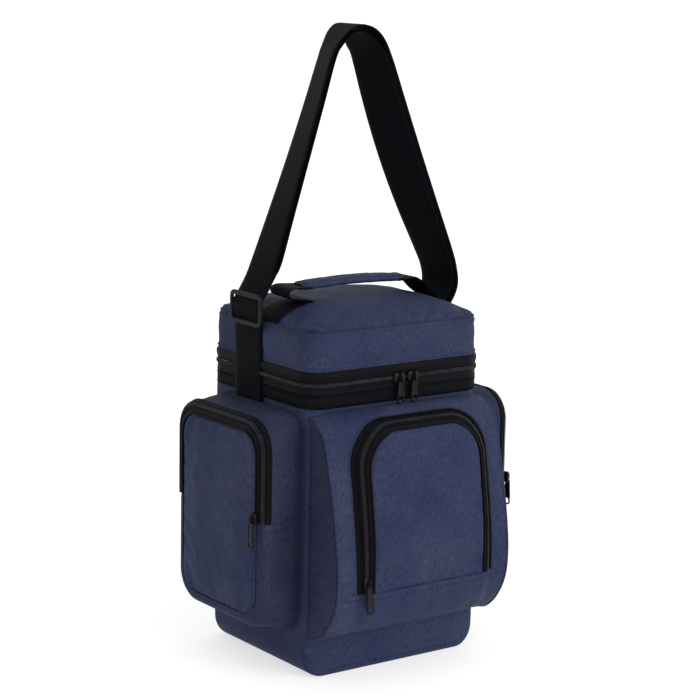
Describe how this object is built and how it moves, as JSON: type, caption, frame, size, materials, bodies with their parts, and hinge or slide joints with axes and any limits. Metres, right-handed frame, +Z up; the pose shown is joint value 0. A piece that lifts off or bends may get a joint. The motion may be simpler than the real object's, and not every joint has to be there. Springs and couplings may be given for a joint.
{
  "type": "insulated cooler bag",
  "caption": "Soft-sided upright insulated cooler bag with zipped hinged lid, zipped front and side pockets, carry handle and adjustable shoulder strap.",
  "frame": {"origin": "centre of the bag's base, on the surface it stands on", "axes": "+Z up, -Y towards the front pocket, +X towards the bag's right side pocket as seen from the front"},
  "size_m": [0.3238, 0.2407, 0.6354],
  "materials": {
    "shell_fabric": "navy coated polyester weave, slight sheen",
    "foam": "closed-cell foam",
    "liner_film": "satin film",
    "black_webbing": "ribbed polypropylene webbing",
    "zip_tape": "woven zip tape",
    "zip_chain": "nylon coil",
    "black_plastic": "fine moulded grain",
    "slider_enamel": "black enamel, satin"
  },
  "bodies": {
    "bag": {"body_front_panel": "shell_fabric", "body_back_panel": "shell_fabric", "body_left_panel": "shell_fabric", "body_right_panel": "shell_fabric", "body_base_panel": "shell_fabric", "foam_front": "foam", "foam_back": "foam", "foam_left": "foam", "foam_right": "foam", "foam_base": "foam", "liner_tub": "liner_film", "rim_band": "black_webbing", "main_zip_tape_lower": "zip_tape", "main_zip_chain_lower": "zip_chain", "hinge_strip": "shell_fabric", "front_pocket_gussets": "shell_fabric", "front_pocket_roof": "shell_fabric", "front_pocket_face": "shell_fabric", "front_pocket_base": "shell_fabric", "front_zip_tape": "zip_tape", "front_zip_chain": "zip_chain", "left_pocket_gusset": "shell_fabric", "left_pocket_panel": "shell_fabric", "left_zip_tape": "zip_tape", "left_zip_chain": "zip_chain", "right_pocket_gusset": "shell_fabric", "right_pocket_panel": "shell_fabric", "right_zip_tape": "zip_tape", "right_zip_chain": "zip_chain", "strap_patch_left": "black_webbing", "strap_patch_right": "black_webbing"},
    "lid": {"lid_top_panel": "shell_fabric", "lid_side_band": "shell_fabric", "lid_foam": "foam", "lid_liner": "liner_film", "main_zip_tape_upper": "zip_tape", "main_zip_chain_upper": "zip_chain"},
    "handle": {"handle_grip": "shell_fabric", "handle_webbing_left": "black_webbing", "handle_webbing_right": "black_webbing"},
    "strap": {"strap_webbing": "black_webbing", "strap_return_webbing": "black_webbing", "strap_ring": "black_plastic", "strap_ring_loop": "black_webbing"},
    "triglide": {"triglide": "black_plastic"},
    "front_flap": {"front_flap": "shell_fabric"},
    "left_flap": {"left_flap": "shell_fabric"},
    "right_flap": {"right_flap": "shell_fabric"},
    "main_left_slider": {"main_left_slider": "slider_enamel"},
    "main_left_pull": {"main_left_pull": "slider_enamel"},
    "main_right_slider": {"main_right_slider": "slider_enamel"},
    "main_right_pull": {"main_right_pull": "slider_enamel"},
    "front_slider": {"front_slider": "slider_enamel"},
    "front_pull": {"front_pull": "slider_enamel"},
    "left_slider": {"left_slider": "slider_enamel"},
    "left_pull": {"left_pull": "slider_enamel"},
    "right_slider": {"right_slider": "slider_enamel"},
    "right_pull": {"right_pull": "slider_enamel"}
  },
  "joints": [
    {"name": "lid_hinge", "type": "hinge", "parent": "bag", "child": "lid", "pos_m": [0, 0.0883, 0.294], "axis": [-1, 0, 0], "range_deg": [0, 165], "deforming": ["hinge_strip"]},
    {"name": "handle_lift", "type": "slide", "parent": "lid", "child": "handle", "axis": [0, 0, 1], "range_m": [0, 0.025], "deforming": ["handle_webbing_left", "handle_webbing_right"]},
    {"name": "strap_swing", "type": "hinge", "parent": "bag", "child": "strap", "pos_m": [0, 0.014, 0.285], "axis": [1, 0, 0], "range_deg": [-70, 70], "deforming": ["strap_webbing", "strap_return_webbing", "strap_ring_loop"]},
    {"name": "triglide_slide", "type": "slide", "parent": "strap", "child": "triglide", "axis": [0, 0, 1], "range_m": [-0.035, 0]},
    {"name": "front_flap_hinge", "type": "hinge", "parent": "bag", "child": "front_flap", "pos_m": [0, -0.14109, 0.09809], "axis": [1, 0, 0], "range_deg": [0, 90]},
    {"name": "left_flap_hinge", "type": "hinge", "parent": "bag", "child": "left_flap", "pos_m": [-0.1536, 0, 0.158], "axis": [0, -1, 0], "range_deg": [0, 80]},
    {"name": "right_flap_hinge", "type": "hinge", "parent": "bag", "child": "right_flap", "pos_m": [0.1536, 0, 0.158], "axis": [0, 1, 0], "range_deg": [0, 80]},
    {"name": "main_left_slide", "type": "slide", "parent": "bag", "child": "main_left_slider", "axis": [-1, 0, 0], "range_m": [0, 0.08]},
    {"name": "main_left_pull_hinge", "type": "hinge", "parent": "main_left_slider", "child": "main_left_pull", "pos_m": [-0.002, -0.0949, 0.294], "axis": [-1, 0, 0], "range_deg": [0, 150]},
    {"name": "main_right_slide", "type": "slide", "parent": "bag", "child": "main_right_slider", "axis": [1, 0, 0], "range_m": [0, 0.066]},
    {"name": "main_right_pull_hinge", "type": "hinge", "parent": "main_right_slider", "child": "main_right_pull", "pos_m": [0.015, -0.0949, 0.294], "axis": [-1, 0, 0], "range_deg": [0, 150]},
    {"name": "front_slide", "type": "slide", "parent": "bag", "child": "front_slider", "axis": [0, 0.1496, 0.9887], "range_m": [0, 0.085]},
    {"name": "front_pull_hinge", "type": "hinge", "parent": "front_slider", "child": "front_pull", "pos_m": [-0.074, -0.14632, 0.10899], "axis": [-1, 0, 0], "range_deg": [0, 150]},
    {"name": "left_slide", "type": "slide", "parent": "bag", "child": "left_slider", "axis": [0, 0, 1], "range_m": [0, 0.06]},
    {"name": "left_pull_hinge", "type": "hinge", "parent": "left_slider", "child": "left_pull", "pos_m": [-0.1604, -0.07, 0.168], "axis": [0, 1, 0], "range_deg": [0, 150]},
    {"name": "right_slide", "type": "slide", "parent": "bag", "child": "right_slider", "axis": [0, 0, 1], "range_m": [0, 0.06]},
    {"name": "right_pull_hinge", "type": "hinge", "parent": "right_slider", "child": "right_pull", "pos_m": [0.1604, -0.07, 0.168], "axis": [0, -1, 0], "range_deg": [0, 150]}
  ]
}
